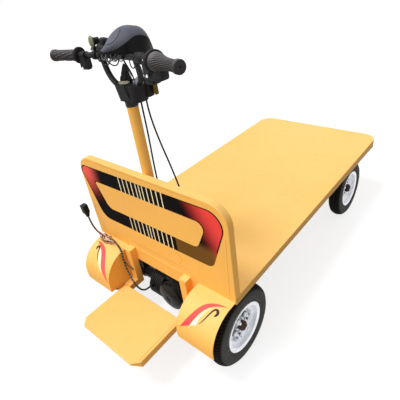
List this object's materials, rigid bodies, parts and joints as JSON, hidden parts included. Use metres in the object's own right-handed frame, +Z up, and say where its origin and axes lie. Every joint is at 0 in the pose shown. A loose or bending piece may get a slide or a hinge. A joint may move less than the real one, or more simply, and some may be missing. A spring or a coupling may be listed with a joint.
{
  "type": "electric platform cart",
  "caption": "Stand-on electric platform cart with a flat yellow deck, a rear panel and footboard, handlebar steering to the front wheels and a driven rear axle.",
  "frame": {"origin": "on the ground under the middle of the cart's length and width", "axes": "+X to the cart's right, +Y forward along the deck, +Z up"},
  "size_m": [0.9133, 2.072, 1.4179],
  "materials": {
    "yellow_paint": "satin yellow paint with light dirt",
    "black_steel": "black paint over steel",
    "rim_silver": "silver paint on pressed steel",
    "tyre_rubber": "black moulded rubber",
    "grip_rubber": "ribbed black rubber",
    "black_plastic": "textured black plastic",
    "display_plastic": "dark glossy plastic",
    "cast_black": "black painted casting",
    "zinc_steel": "zinc plated steel",
    "bell_brass": "dull pale brass",
    "battery_case": "dark plastic battery case",
    "cord_black": "black cable sheath"
  },
  "bodies": {
    "chassis": {"deck_pan": "yellow_paint", "panel_shell": "yellow_paint", "panel_back": "yellow_paint", "rear_crossbeam": "yellow_paint", "rail_left": "yellow_paint", "rail_right": "yellow_paint", "cross_members": "yellow_paint", "post_left": "yellow_paint", "post_right": "yellow_paint", "footboard": "yellow_paint", "fender_left": "yellow_paint", "fender_right": "yellow_paint", "column_tube": "yellow_paint", "battery_block": "battery_case", "battery_straps": "black_steel", "rear_axle": "black_steel", "gear_case": "cast_black", "drive_motor": "cast_black", "front_axle": "black_steel", "control_cable_left": "cord_black", "control_cable_right": "cord_black", "charging_lead": "cord_black", "charging_plug": "black_plastic"},
    "steering": {"steering_shaft": "black_steel", "handlebar": "black_steel", "stem_cover": "black_plastic", "headlamp_hood": "black_plastic", "display_face": "display_plastic", "grip_left": "grip_rubber", "grip_right": "grip_rubber", "switch_pod_left": "black_plastic", "switch_pod_right": "black_plastic", "bell": "bell_brass", "stem_bracket": "yellow_paint"},
    "knuckle_left": {"knuckle_left": "cast_black"},
    "knuckle_right": {"knuckle_right": "cast_black"},
    "drag_link": {"drag_link": "zinc_steel"},
    "tie_rod": {"tie_rod": "zinc_steel"},
    "wheel_rear_left": {"rim_rear_left": "rim_silver", "tyre_rear_left": "tyre_rubber"},
    "wheel_rear_right": {"rim_rear_right": "rim_silver", "tyre_rear_right": "tyre_rubber"},
    "wheel_front_left": {"rim_front_left": "rim_silver", "tyre_front_left": "tyre_rubber"},
    "wheel_front_right": {"rim_front_right": "rim_silver", "tyre_front_right": "tyre_rubber"}
  },
  "joints": [
    {"name": "steer", "type": "hinge", "parent": "chassis", "child": "steering", "pos_m": [0, -0.613, 0.9], "axis": [0, 0, 1], "range_deg": [-32, 32]},
    {"name": "knuckle_left_turn", "type": "hinge", "parent": "chassis", "child": "knuckle_left", "pos_m": [-0.296, 0.651, 0.188], "axis": [0, 0, 1], "range_deg": [-33, 33]},
    {"name": "knuckle_right_turn", "type": "hinge", "parent": "chassis", "child": "knuckle_right", "pos_m": [0.296, 0.651, 0.188], "axis": [0, 0, 1], "range_deg": [-33, 33]},
    {"name": "drag_link_pivot", "type": "hinge", "parent": "steering", "child": "drag_link", "pos_m": [0.06495, -0.5755, 0.34], "axis": [0, 0, 1], "range_deg": [-33, 33]},
    {"name": "tie_rod_pivot", "type": "hinge", "parent": "knuckle_left", "child": "tie_rod", "pos_m": [-0.296, 0.551, 0.136], "axis": [0, 0, 1], "range_deg": [-33, 33]},
    {"name": "wheel_rear_left_spin", "type": "hinge", "parent": "chassis", "child": "wheel_rear_left", "pos_m": [-0.376, -0.616, 0.188], "axis": [1, 0, 0], "continuous": true},
    {"name": "wheel_rear_right_spin", "type": "hinge", "parent": "chassis", "child": "wheel_rear_right", "pos_m": [0.409, -0.616, 0.188], "axis": [1, 0, 0], "continuous": true},
    {"name": "wheel_front_left_spin", "type": "hinge", "parent": "knuckle_left", "child": "wheel_front_left", "pos_m": [-0.386, 0.651, 0.188], "axis": [1, 0, 0], "continuous": true},
    {"name": "wheel_front_right_spin", "type": "hinge", "parent": "knuckle_right", "child": "wheel_front_right", "pos_m": [0.386, 0.651, 0.188], "axis": [1, 0, 0], "continuous": true}
  ],
  "couplings": [
    {"joint": "knuckle_left_turn", "follows": "steer", "ratio": 1},
    {"joint": "knuckle_right_turn", "follows": "steer", "ratio": 1},
    {"joint": "drag_link_pivot", "follows": "steer", "ratio": -1},
    {"joint": "tie_rod_pivot", "follows": "steer", "ratio": -1}
  ]
}
